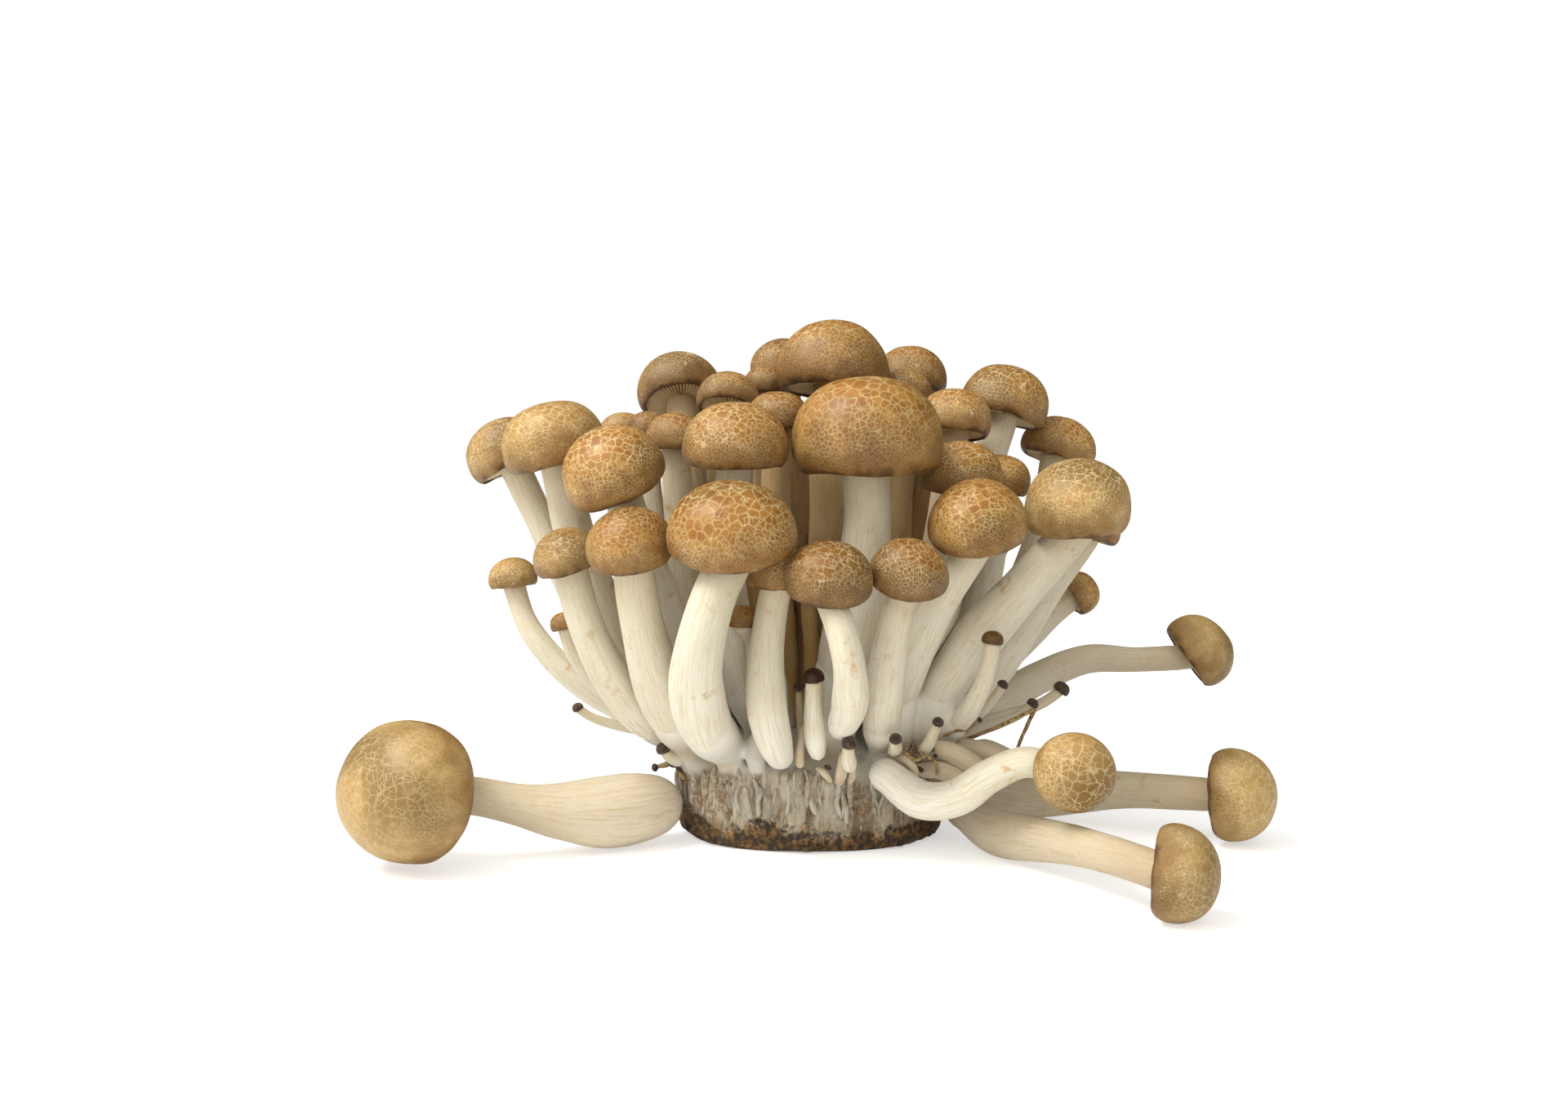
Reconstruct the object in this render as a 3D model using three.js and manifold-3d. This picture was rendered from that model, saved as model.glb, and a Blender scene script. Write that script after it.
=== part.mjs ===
// A cluster of brown beech mushrooms on the block of mycelium that it grew from.
//
// Millimetres, +Z up, -Y to the front. The origin is the centre of the block's flat underside. Each mushroom
// is one solid, turned as a straight profile and then carried along its own curve from the block to its cap.
import * as THREE from "three";
import { mergeVertices } from "three/addons/utils/BufferGeometryUtils.js";
import Module from "manifold-3d";

// ---- Driving dimensions -------------------------------------------------------------------------

const BLOCK_RADIUS = 30; // the inside radius of the bottle that the cluster was grown in
const BLOCK_WAIST = 12; // height of the straight side, below the flare
const BLOCK_EDGE = 3.5; // radius of the rounded bottom edge
const BLOCK_SIDES = 28;
const CROWN_RADIUS = 32; // where the fused stem feet spread past the block
const CROWN_EDGE = 17.5; // height of the crown's widest ring
const CROWN_LIP = 1.5; // bevel under the widest ring
const CROWN_TOP = 27; // height of the crown's middle
const CROWN_RINGS = [1, 0.75, 0.45]; // radii of the rings up the crown, in crown radii

const SIDES = 10; // around a mushroom
const SMALL_SIDES = 8; // around one whose cap is narrower than SMALL_CAP
const SMALL_CAP = 11;
const STEM_RINGS = 6;
const STEM_FULLNESS = [0.62, 0.98, 1.12, 1.08, 0.96, 0.88, 0.86]; // radius along the stem, foot to neck
const BULB_LENGTH = 0.62; // share of the stem that a thicker foot takes to narrow
const FOOT_TIP = 0.4; // how far the foot's point stands out past its first ring, in foot radii
const DOME = 1.2; // cap height over cap radius
const DOME_RINGS = [25, 50, 72]; // degrees above the rim of the rings between the widest one and the top
const WIDEST = 0.12; // height of the cap's widest ring above its gills, in cap radii
const GILL_RISE = 0.02; // how far the gills slope up to their outer edge, in cap radii
const GILL_EDGE = 0.84; // outer radius of the gills, in cap radii
const RIM_DROP = 0.1; // how far the rim turns down below the gills, in cap radii
const RIM_EDGE = 0.93; // radius of the rim's lowest ring, in cap radii

const FOOT_REACH = 31; // the feet under the widest caps stand this far out
const FAN = 15; // reach of the cap whose foot stands half that far out
const FOOT_RISE = 2.2; // height of a foot's first ring above the crown
const SPLAY = 0.5; // a stem has gone this share of the way out to its cap ...
const SPLAY_RISE = 0.25; // ... at this share of its height
const NECK_PULL = 0.42; // share of its height over which a stem follows its cap's axis
const PIN_FAN = 90; // distance from the axis at which a pin would lie flat

const CLEARANCE = 0.45; // gap that settling leaves between two mushrooms
const SETTLE_ROUNDS = 700;
const GIVE = new THREE.Vector3(0.4, 1, 0.4); // crowded mushrooms give way front to back before sideways
const RETURN = 0.01; // share of its displacement that an end of a stem recovers in the first round
const STEM_BALLS = [0, 0.12, 0.24, 0.36, 0.48, 0.6, 0.72, 0.84, 0.94]; // where they sit along the stem
const CAP_BALL = { height: 0.54, radius: 0.72 }; // the ball that fills a cap, in cap radii
const RIM_BALLS = { count: 10, height: 0.24, out: 0.68, radius: 0.33 }; // those around its rim
const BALL_REACH = 12; // larger than any ball's radius
const TRIM_GAP = 0.3; // gap cut where two pieces still touch after settling

// ---- Where each mushroom stands -----------------------------------------------------------------

// Upright mushrooms: the middle of the cap's rim, the cap's and the stem's diameters, and how far the cap's
// top leans along x and y (the x and y of a unit vector). A foot is given where it isn't straight below and
// inside of the cap, and a bow pushes the middle of the stem along x and y.
const UPRIGHT = {
  front_mushroom: [
    { cap: [-15, -46, 62.6], width: 24, stem: 10, lean: [-0.08, -0.42], foot: [-17.5, -26, 22], bow: [-2, 0] },
    { cap: [2, -47, 55.8], width: 17, stem: 6.6, lean: [0.05, -0.3], foot: [5.5, -32, 27], bow: [0, -1] },
    { cap: [18, -46, 57.3], width: 15.5, stem: 7, lean: [0.12, -0.38], foot: [12.8, -28, 21], bow: [-3, 0] },
    { cap: [-35.5, -43, 62.5], width: 17.5, stem: 9, lean: [-0.08, -0.3], foot: [-26.5, -19, 22] },
    { cap: [-7.5, -41, 58], width: 13, stem: 6.8, lean: [0, -0.15], foot: [-6, -32, 20] },
    { cap: [-15, -33, 81], width: 21.5, stem: 8.6, lean: [0.02, -0.12], foot: [-10, -15, 25] },
    { cap: [11, -32, 80.5], width: 31, stem: 11.6, lean: [0, -0.06], foot: [4, -18, 24] },
    { cap: [33.5, -37, 65.8], width: 21, stem: 8, lean: [-0.1, -0.3], foot: [18.5, -21, 24], bow: [-11, 2] },
    { cap: [-39, -34, 76.5], width: 21, stem: 8.4, lean: [-0.28, -0.45], foot: [-20, -12, 24] },
    { cap: [56, -24, 68.5], width: 23.5, stem: 9.6, lean: [-0.02, -0.2], foot: [26, -18, 23], bow: [-15, -2] },
  ],
  left_mushroom: [
    { cap: [-49.5, -32, 60], width: 14, stem: 7.6, lean: [-0.25, -0.12], foot: [-30, -10, 22] },
    { cap: [-53.5, -19, 81.5], width: 22.5, stem: 9, lean: [-0.22, -0.1], foot: [-26, -4, 24] },
    { cap: [-66, -4, 81.5], width: 18, stem: 7.6, lean: [-0.5, 0], foot: [-27, 4, 24] },
    { cap: [-67, 1, 54], width: 11, stem: 5.6, lean: [-0.12, 0], foot: [-31, 2, 21], bow: [2, -3] },
    { cap: [-42, 2, 87], width: 11, stem: 6, lean: [-0.1, 0.1] },
  ],
  crown_mushroom: [
    { cap: [-29, -14, 85], width: 13, stem: 7, lean: [0, -0.1] },
    { cap: [-7, -13, 89.5], width: 13, stem: 7, lean: [0.05, -0.1] },
    { cap: [-36, -5, 88], width: 9, stem: 5.4, lean: [0, -0.05] },
    { cap: [-18.5, -1, 94], width: 14.5, stem: 7, lean: [0.1, 0.42] },
    { cap: [-29.5, 13, 96], width: 20.5, stem: 8.4, lean: [-0.14, 0.5] },
    { cap: [-10, 13, 99], width: 10, stem: 6, lean: [0, 0] },
    { cap: [6, 4, 99], width: 25.5, stem: 10.4, lean: [0, 0.12] },
    { cap: [-6, 24, 102.5], width: 16, stem: 8, lean: [-0.1, 0.1] },
    { cap: [24.5, 20, 100], width: 17, stem: 8, lean: [0.1, 0.15] },
    { cap: [22, 9, 97], width: 12, stem: 6.6, lean: [0.12, 0] },
  ],
  right_mushroom: [
    { cap: [32.5, -17, 76], width: 17.5, stem: 8, lean: [0.1, -0.12], foot: [14, -9, 26] },
    { cap: [42, -8, 76], width: 13, stem: 7, lean: [0.18, -0.1] },
    { cap: [32, -6, 88.5], width: 16.5, stem: 8, lean: [0.1, 0.12] },
    { cap: [45, 9, 91.5], width: 21, stem: 9, lean: [0.3, 0.05] },
    { cap: [58, 13, 84], width: 17, stem: 8.2, lean: [0.3, 0.12] },
    { cap: [61.5, -3, 65], width: 15, stem: 7.6, lean: [0.25, 0], foot: [29, -9, 23], bow: [-13, 0] },
    { cap: [64, 21, 50], width: 11, stem: 6, lean: [0.85, 0.1] },
  ],
  back_mushroom: [
    { cap: [-46, 26, 76], width: 20, stem: 8.6, lean: [-0.3, 0.3] },
    { cap: [-26, 40, 82], width: 22, stem: 9, lean: [-0.1, 0.35] },
    { cap: [-2, 46, 80], width: 19, stem: 8.6, lean: [0, 0.4] },
    { cap: [22, 42, 84], width: 21, stem: 9, lean: [0.12, 0.35] },
    { cap: [42, 33, 72], width: 17, stem: 8, lean: [0.3, 0.3] },
    { cap: [-38, 44, 54], width: 16, stem: 8, lean: [-0.25, 0.4] },
    { cap: [8, 52, 56], width: 18, stem: 8.6, lean: [0.05, 0.45] },
    { cap: [-12, 28, 92], width: 13, stem: 7, lean: [0, 0.2] },
    { cap: [30, 52, 50], width: 13, stem: 7, lean: [0.2, 0.4] },
  ],
  small_mushroom: [
    { cap: [-52, -21, 46.5], width: 6, stem: 4, lean: [-0.25, 0], foot: [-31, -12, 24] },
    { cap: [-13.5, -36, 48.5], width: 7, stem: 4.8, lean: [0, 0], foot: [-11.5, -29, 21] },
    { cap: [37, -33, 44.5], width: 4.6, stem: 3.8, lean: [0.1, 0], foot: [29, -20, 24] },
    { cap: [0.5, -38, 37.5], width: 4.4, stem: 4, lean: [-0.1, 0], foot: [1.5, -33, 21] },
  ],
};

// Mushrooms that lean right out of the cluster: the points that the stem runs through, from the block to the
// neck, then the way that the cap's top points, its diameter, the stem's, and how much thicker the foot is.
const LEANING = [
  {
    route: [[-30, -16, 9], [-36, -21, 8.4], [-46, -27, 8.4], [-58, -31, 10.5], [-70, -34, 13.5], [-77, -37, 14.4]],
    top: [-0.62, -0.74, 0.26], width: 30, stem: 9.4, bulb: 1.9,
  },
  {
    route: [[12, -28, 21], [17, -34, 16.5], [25.3, -40, 13], [32, -43, 17], [40, -47, 22.8], [49, -51, 21.4]],
    top: [0.34, -0.9, 0.24], width: 16, stem: 7, bulb: 1,
  },
  {
    route: [[30, -8, 10], [34, -18, 6.4], [38, -30, 5], [45, -42, 6.4], [52, -57, 8.2], [61, -75, 8.7]],
    top: [0.9, -0.42, -0.04], width: 16.8, stem: 7.8, bulb: 1.1,
  },
  {
    route: [[31, 6, 11], [39, 6, 6.8], [50, 3.5, 5.4], [61, -1, 7.2], [72, -8, 9.2], [88, -19, 10.3]],
    top: [0.88, -0.46, 0.08], width: 20, stem: 8.4, bulb: 1,
  },
  {
    route: [[25, 18, 20], [40, 27, 20.5], [55, 33, 27], [65, 35, 32], [79, 35, 34], [90, 35, 32], [96, 35, 34]],
    top: [0.8, -0.1, 0.55], width: 18.5, stem: 7.4, bulb: 1.2,
  },
];

// Pins, the young that stopped growing: the middle of the dark cap, its diameter, the stem's, and the foot.
const PINS = [
  { cap: [7.5, -38, 24.5], width: 3.3, stem: 2.8, foot: [8, -33.5, 19] },
  { cap: [16.8, -37, 25.2], width: 2.7, stem: 2.3, foot: [16, -30, 20] },
  { cap: [25.8, -33, 28], width: 2.5, stem: 2.2, foot: [23, -27, 21] },
  { cap: [41, -20, 34], width: 2.4, stem: 2, foot: [30, -14, 23] },
  { cap: [49, -10, 28.5], width: 2.7, stem: 2.2, foot: [31, -7, 21] },
  { cap: [56, -6, 31], width: 3.8, stem: 2.6, foot: [31, -3, 22] },
  { cap: [-31, -22, 20.5], width: 3.2, stem: 2.4, foot: [-27, -17, 17.5] },
  { cap: [-50, -16, 28.5], width: 2.5, stem: 2, foot: [-32, -8, 22] },
];

// ---- Materials ----------------------------------------------------------------------------------

const MATERIALS = {
  mushroom: new THREE.MeshStandardMaterial({ color: 0xc89a5c, roughness: 0.6, metalness: 0 }),
  pin: new THREE.MeshStandardMaterial({ color: 0x4a3526, roughness: 0.75, metalness: 0 }),
  block: new THREE.MeshStandardMaterial({ color: 0xb7a78d, roughness: 0.9, metalness: 0 }),
};

// ---- The block ----------------------------------------------------------------------------------

// Height of the crown at a distance from the axis: a low dome between CROWN_TOP and CROWN_EDGE.
function crownHeight(distance) {
  const share = Math.min(1, distance / CROWN_RADIUS);
  return CROWN_TOP - (CROWN_TOP - CROWN_EDGE) * share * share;
}

// Growth moves the block's surface outwards.
function blockGeometry(growth) {
  const profile = [
    [0, 0],
    [BLOCK_RADIUS - BLOCK_EDGE + growth, 0],
    [BLOCK_RADIUS - BLOCK_EDGE * (1 - Math.SQRT1_2) + growth, BLOCK_EDGE * (1 - Math.SQRT1_2)],
    [BLOCK_RADIUS + growth, BLOCK_EDGE],
    [BLOCK_RADIUS + growth, BLOCK_WAIST],
    [CROWN_RADIUS - CROWN_LIP + growth, CROWN_EDGE - CROWN_LIP],
  ].map(([radius, height]) => new THREE.Vector2(radius, height));
  for (const share of CROWN_RINGS) {
    const distance = CROWN_RADIUS * share;
    profile.push(new THREE.Vector2(distance + growth, crownHeight(distance) + growth));
  }
  profile.push(new THREE.Vector2(0, CROWN_TOP + growth));
  return new THREE.LatheGeometry(profile, BLOCK_SIDES).rotateX(Math.PI / 2);
}

// ---- Growing a mushroom -------------------------------------------------------------------------

// A foot on the crown, below and inside its cap. Mushrooms that reach further stand nearer to the edge.
function footUnder(cap) {
  const reach = Math.hypot(cap.x, cap.y);
  const distance = (FOOT_REACH * reach) / (reach + FAN);
  return new THREE.Vector3(cap.x, cap.y, 0).setLength(distance).setZ(crownHeight(distance) + FOOT_RISE);
}

function unitVector(x, y, z = Math.sqrt(1 - x * x - y * y)) {
  return new THREE.Vector3(x, y, z).normalize();
}

// The four control points of an upright stem: it leaves the block outwards, and meets the cap along its axis.
function uprightControls(foot, cap, axis, [bowX, bowY]) {
  const out = new THREE.Vector3(cap.x - foot.x, cap.y - foot.y, 0);
  const rise = cap.z - foot.z;
  const lower = foot.clone().addScaledVector(out, SPLAY).add(new THREE.Vector3(bowX, bowY, rise * SPLAY_RISE));
  const upper = cap.clone().addScaledVector(axis, -NECK_PULL * rise).add(new THREE.Vector3(bowX, bowY, 0));
  return [foot, lower, upper, cap];
}

function uprightMushroom(name, { cap, width, stem, lean, foot, bow = [0, 0] }, material) {
  const neck = new THREE.Vector3(...cap);
  const axis = unitVector(...lean);
  const controls = uprightControls(foot ? new THREE.Vector3(...foot) : footUnder(neck), neck, axis, bow);
  const curve = new THREE.CubicBezierCurve3(...controls);
  const held = { foot: controls[0].clone(), cap: neck.clone() };
  return { name, material, axis, curve, controls, held, bulb: 1, capRadius: width / 2, stemRadius: stem / 2 };
}

function leaningMushroom(name, { route, top, width, stem, bulb }, material) {
  const curve = new THREE.CatmullRomCurve3(route.map((point) => new THREE.Vector3(...point)));
  return { name, material, axis: unitVector(...top), curve, bulb, capRadius: width / 2, stemRadius: stem / 2 };
}

function stemRadiusAt({ stemRadius, bulb }, share) {
  const place = share * (STEM_FULLNESS.length - 1);
  const below = Math.min(Math.floor(place), STEM_FULLNESS.length - 2);
  const fullness = THREE.MathUtils.lerp(STEM_FULLNESS[below], STEM_FULLNESS[below + 1], place - below);
  return stemRadius * fullness * THREE.MathUtils.lerp(bulb, 1, Math.min(1, share / BULB_LENGTH));
}

// Every ring of the solid, foot to top: its centre, its radius, and the two directions that it lies along.
// Growth moves the surface outwards: lift and spread say how much of it each ring of the cap takes.
function ringsOf(mushroom, growth) {
  const { curve, axis, capRadius } = mushroom;
  const frames = curve.computeFrenetFrames(STEM_RINGS, false);
  const rings = [];
  for (let i = 0; i <= STEM_RINGS; i++) {
    rings.push({
      centre: curve.getPointAt(i / STEM_RINGS),
      radius: stemRadiusAt(mushroom, i / STEM_RINGS) + growth,
      across: frames.normals[i],
      along: frames.binormals[i],
    });
  }
  const tip = rings[0].centre.clone().addScaledVector(frames.tangents[0], -FOOT_TIP * rings[0].radius);
  rings.unshift({ ...rings[0], centre: tip, radius: 0 });

  const neck = curve.getPointAt(1);
  const across = frames.normals[STEM_RINGS].clone().projectOnPlane(axis).normalize();
  const along = new THREE.Vector3().crossVectors(axis, across);
  const capRing = (height, radius, lift, spread) => {
    const centre = neck.clone().addScaledVector(axis, height * capRadius + lift * growth);
    rings.push({ centre, radius: radius * capRadius + spread * growth, across, along });
  };
  capRing(GILL_RISE, GILL_EDGE, -1, -1);
  capRing(-RIM_DROP, RIM_EDGE, -1.5, 0);
  capRing(WIDEST, 1, 0, 1);
  for (const degrees of DOME_RINGS) {
    const angle = THREE.MathUtils.degToRad(degrees);
    capRing(WIDEST + (DOME - WIDEST) * Math.sin(angle), Math.cos(angle), Math.sin(angle), 1);
  }
  capRing(DOME, 0, 1, 0);
  return rings;
}

// A straight lathe whose profile height is the ring's number, then each ring moved to its place.
function mushroomGeometry(mushroom, growth) {
  const rings = ringsOf(mushroom, growth);
  const profile = rings.map((ring, number) => new THREE.Vector2(ring.radius, number));
  const sides = mushroom.capRadius * 2 < SMALL_CAP ? SMALL_SIDES : SIDES;
  const geometry = new THREE.LatheGeometry(profile, sides);
  const position = geometry.getAttribute("position");
  const vertex = new THREE.Vector3();
  for (let i = 0; i < position.count; i++) {
    vertex.fromBufferAttribute(position, i);
    const ring = rings[Math.round(vertex.y)];
    const placed = ring.centre.clone().addScaledVector(ring.across, vertex.z);
    placed.addScaledVector(ring.along, vertex.x);
    position.setXYZ(i, placed.x, placed.y, placed.z);
  }
  return geometry;
}

// ---- Solids -------------------------------------------------------------------------------------

const wasm = await Module();
wasm.setup();

function solidOf(geometry) {
  const surface = new THREE.BufferGeometry();
  surface.setAttribute("position", geometry.getAttribute("position"));
  surface.setIndex(geometry.getIndex());
  const { attributes, index } = mergeVertices(surface, 1e-3);
  const triVerts = new Uint32Array(index.array);
  const mesh = new wasm.Mesh({ numProp: 3, vertProperties: attributes.position.array, triVerts });
  return new wasm.Manifold(mesh);
}

function largestBody(solid) {
  return solid.decompose().reduce((best, body) => (body.volume() > best.volume() ? body : best));
}

function geometryOf(solid) {
  const { vertProperties, triVerts } = solid.getMesh();
  const geometry = new THREE.BufferGeometry();
  geometry.setAttribute("position", new THREE.BufferAttribute(vertProperties, 3));
  geometry.setIndex(new THREE.BufferAttribute(triVerts, 1));
  geometry.computeVertexNormals();
  return geometry;
}

// ---- Settling: crowded mushrooms push each other aside until none overlap -----------------------

// The balls that stand for a mushroom while it settles, each with how much it moves the four control points.
function ballsOf(mushroom) {
  const { curve, axis, capRadius } = mushroom;
  const balls = [];
  for (const share of STEM_BALLS) {
    const rest = 1 - share;
    balls.push({
      centre: curve.getPoint(share),
      radius: stemRadiusAt(mushroom, share),
      pull: [rest ** 3, 3 * rest * rest * share, 3 * rest * share * share, share ** 3],
    });
  }
  const neck = curve.getPoint(1);
  const across = new THREE.Vector3(1, 0, 0).projectOnPlane(axis).normalize();
  const along = new THREE.Vector3().crossVectors(axis, across);
  const capBall = (height, out, angle, radius) => {
    const centre = neck.clone().addScaledVector(axis, height * capRadius);
    centre.addScaledVector(across, out * capRadius * Math.cos(angle));
    centre.addScaledVector(along, out * capRadius * Math.sin(angle));
    balls.push({ centre, radius: radius * capRadius, pull: [0, 0, 1, 1], cap: true });
  };
  capBall(CAP_BALL.height, 0, 0, CAP_BALL.radius);
  for (let i = 0; i < RIM_BALLS.count; i++) {
    capBall(RIM_BALLS.height, RIM_BALLS.out, (2 * Math.PI * i) / RIM_BALLS.count, RIM_BALLS.radius);
  }
  return balls;
}

// A ball's shift moves the control points by their pull on it. A leaning mushroom stays where it lies.
function moveBall(mushroom, ball, shift) {
  if (!mushroom.controls) return;
  const weight = ball.cap ? 1 : 1 / ball.pull.reduce((sum, share) => sum + share * share, 0);
  mushroom.controls.forEach((point, i) => point.addScaledVector(shift, ball.pull[i] * weight));
}

function pushApart(first, second) {
  const apart = new THREE.Vector3();
  for (const a of first.balls) {
    for (const b of second.balls) {
      apart.subVectors(a.centre, b.centre);
      const overlap = a.radius + b.radius + CLEARANCE - apart.length();
      if (overlap <= 0) continue;
      apart.normalize().multiply(GIVE).multiplyScalar(overlap * 0.5);
      moveBall(first.mushroom, a, apart);
      moveBall(second.mushroom, b, apart.negate());
    }
  }
}

// Foot and cap both drift back towards the places that they were given.
function hold({ controls, held }, share) {
  if (!controls) return;
  controls[0].lerp(held.foot, share);
  controls[3].lerp(held.cap, share);
}

function settle(mushrooms) {
  for (let round = 0; round < SETTLE_ROUNDS; round++) {
    const crowd = mushrooms.map((mushroom) => {
      const balls = ballsOf(mushroom);
      const box = new THREE.Box3().setFromPoints(balls.map((ball) => ball.centre)).expandByScalar(BALL_REACH);
      return { mushroom, balls, box };
    });
    crowd.forEach((first, i) => {
      for (const second of crowd.slice(i + 1)) {
        if (first.box.intersectsBox(second.box)) pushApart(first, second);
      }
    });
    const share = RETURN * (1 - round / SETTLE_ROUNDS);
    mushrooms.forEach((mushroom) => hold(mushroom, share));
  }
}

// ---- The whole cluster --------------------------------------------------------------------------

const mushrooms = [];
for (const [group, rows] of Object.entries(UPRIGHT)) {
  rows.forEach((row, i) => mushrooms.push(uprightMushroom(`${group}_${i + 1}`, row, MATERIALS.mushroom)));
}
LEANING.forEach((row, i) => {
  mushrooms.push(leaningMushroom(`leaning_mushroom_${i + 1}`, row, MATERIALS.mushroom));
});
PINS.forEach((row, i) => {
  const lean = [row.cap[0] / PIN_FAN, row.cap[1] / PIN_FAN];
  mushrooms.push(uprightMushroom(`pin_${i + 1}`, { ...row, lean }, MATERIALS.pin));
});
settle(mushrooms);

const cluster = new THREE.Group();

function addPiece(name, geometry, material) {
  const mesh = new THREE.Mesh(geometry, material);
  mesh.name = name;
  cluster.add(mesh);
}

addPiece("base_block", blockGeometry(0), MATERIALS.block);

// Each mushroom is cut back from the block and from the mushrooms before it, wherever they still touch.
const standing = [solidOf(blockGeometry(TRIM_GAP))];
for (const mushroom of mushrooms) {
  const whole = solidOf(mushroomGeometry(mushroom, 0));
  const touching = standing.filter((other) => !whole.intersect(other).isEmpty());
  const trimmed = touching.reduce((rest, other) => largestBody(rest.subtract(other)), whole);
  addPiece(mushroom.name, geometryOf(trimmed), mushroom.material);
  standing.push(solidOf(mushroomGeometry(mushroom, TRIM_GAP)));
}

export default cluster;
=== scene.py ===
"""Looks for a cluster of brown beech mushrooms on their root block.

Every mushroom is grown from its own CAD node: the node's rings give the cap's place, tilt and radius and
the stem's centre line and thickness. The root block, and the small growth on it that is too fine for the
CAD, are shaped here from their own measures. Lengths are in millimetres until a mesh is made, but the
camera, the floor and the light are placed in metres.
"""

import itertools
from types import SimpleNamespace

import bpy
import numpy as np
from mathutils import Euler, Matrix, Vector


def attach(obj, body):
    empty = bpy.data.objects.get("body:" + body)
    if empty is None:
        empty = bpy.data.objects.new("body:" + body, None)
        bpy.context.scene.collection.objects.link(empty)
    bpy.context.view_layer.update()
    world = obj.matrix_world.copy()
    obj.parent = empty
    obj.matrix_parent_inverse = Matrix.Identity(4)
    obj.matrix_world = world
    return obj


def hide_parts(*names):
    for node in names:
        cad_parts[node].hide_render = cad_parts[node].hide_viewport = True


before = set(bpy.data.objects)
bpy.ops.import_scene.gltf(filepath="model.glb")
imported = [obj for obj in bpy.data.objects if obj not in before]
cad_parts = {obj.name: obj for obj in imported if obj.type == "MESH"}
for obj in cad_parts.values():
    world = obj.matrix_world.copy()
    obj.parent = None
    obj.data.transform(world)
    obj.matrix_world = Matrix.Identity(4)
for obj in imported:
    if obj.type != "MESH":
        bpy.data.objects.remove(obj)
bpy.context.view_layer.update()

# ---- Driving values ------------------------------------------------

MM = 0.001
CAMERA_PLACE = (-0.0056, -0.3275, 0.076)
CAMERA_TILT = 2.52  # degrees below level
CAMERA_LENS = 33.19
BRIGHT_SIDE = (-0.42, -0.75, 0.45)  # the studio is brightest on this side
FLOOR_REACH = 3.0
CAP_AROUND = 88  # points round a cap
DOME_ROWS = 26  # rings from a cap's top to its widest
MARGIN_ROWS = 18  # rings from the widest to the flesh over the gills
STEM_AROUND = 30
STEM_STEP = 1.0  # distance between a stem's rings
LOWEST_ROW = DOME_ROWS + 7  # the ring at a cap's lowest edge
CAD_DOME = 1.2  # height of a CAD cap's top over its neck, in cap radii
CAD_FIRST_RING = 72  # degrees up a CAD cap's dome to the first ring round its top
CAD_STEM_RINGS = range(7, 14)  # a CAD stem's rings, counted from the cap's top
GILL_PITCH = 0.85  # distance between gills at the margin
SWELL = 0.05  # how far a stem may swell where no neighbour is near
PRESS_LOW = 0.2  # how much further its foot may swell towards a neighbour
PRESS_HIGH = 0.05  # how much further its upper part may
FLATTEN = 0.8  # how far a stem is pressed in by a neighbour, at most
PRESS_REACH = (2.5, 5.0)  # a gap under the first is pressed shut, and one over the second is left open
BOW = 2.2  # how far the left, right and back stems bulge out past their CAD line
PRESS_STEPS = 8  # halvings of the range in which a stem's own swelling is looked for
CREVICE = 0.1  # the gap left between stems that press together
BLOCK_RADIUS = 29.2  # half of the block's width across its sides
BLOCK_SQUARE = 2.5  # 2 is a round block, and more is squarer
BLOCK_VOXEL = 0.65  # the grain at which the block and the feet are fused
FOOT_AROUND = 16
FOOT_SHARE = 0.34  # how much of a stem is fused into the crown
BASE_STUBS = 40
BLOCK_ROOTS = 110
INNER_STEMS = 44
GOLDEN_ANGLE = 2.4  # radians from one inner stem to the next, which spreads them evenly

# ---- Repeatable noise ----------------------------------------------


def grid_value(x, y, z, seed):
    """A fixed number from -1 to 1 for each point of the whole-number grid."""
    n = (x * 374761393 + y * 668265263 + z * 1442695041 + seed * 974634777) & 0x7FFFFFFF
    n = ((n ^ (n >> 13)) * 1274126177) & 0x7FFFFFFF
    return ((n ^ (n >> 16)) & 0xFFFF) / 32767.5 - 1


def noise(points, size, seed=0):
    """Smooth noise from about -1 to 1, in lumps of about size."""
    scaled = np.asarray(points, float) / size
    base = np.floor(scaled).astype(np.int64)
    t = scaled - base
    t = t * t * (3 - 2 * t)
    total = 0.0
    for corner in itertools.product((0, 1), repeat=3):
        weight = np.prod(np.where(np.array(corner) == 1, t, 1 - t), axis=-1)
        x, y, z = np.moveaxis(base + corner, -1, 0)
        total = total + weight * grid_value(x, y, z, seed)
    return total


def ripple(angle, lobes, seed):
    """Noise round a circle, with about the given number of lobes."""
    reach = lobes / 2.5
    circle = np.stack([np.cos(angle) * reach, np.sin(angle) * reach, np.zeros_like(angle)], -1)
    return noise(circle + 50.5, 1.0, seed)


def blend(low, high, value):
    """0 below low, 1 above high, smooth between."""
    t = np.clip((value - low) / (high - low), 0, 1)
    return t * t * (3 - 2 * t)


def unit(vector):
    return vector / np.linalg.norm(vector)


def through(points, count):
    """A smooth curve through the points, resampled to count rows."""
    points = np.asarray(points, float)
    ends = np.vstack([2 * points[0] - points[1], points, 2 * points[-1] - points[-2]])
    place = np.linspace(0, len(points) - 1, count)
    k = np.minimum(place.astype(int), len(points) - 2)
    t = (place - k)[:, None]
    a, b, c, d = ends[k], ends[k + 1], ends[k + 2], ends[k + 3]
    return 0.5 * (2 * b + (c - a) * t + (2 * a - 5 * b + 4 * c - d) * t**2 + (3 * b - a - 3 * c + d) * t**3)


# ---- Reading a mushroom from its CAD node --------------------------


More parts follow.
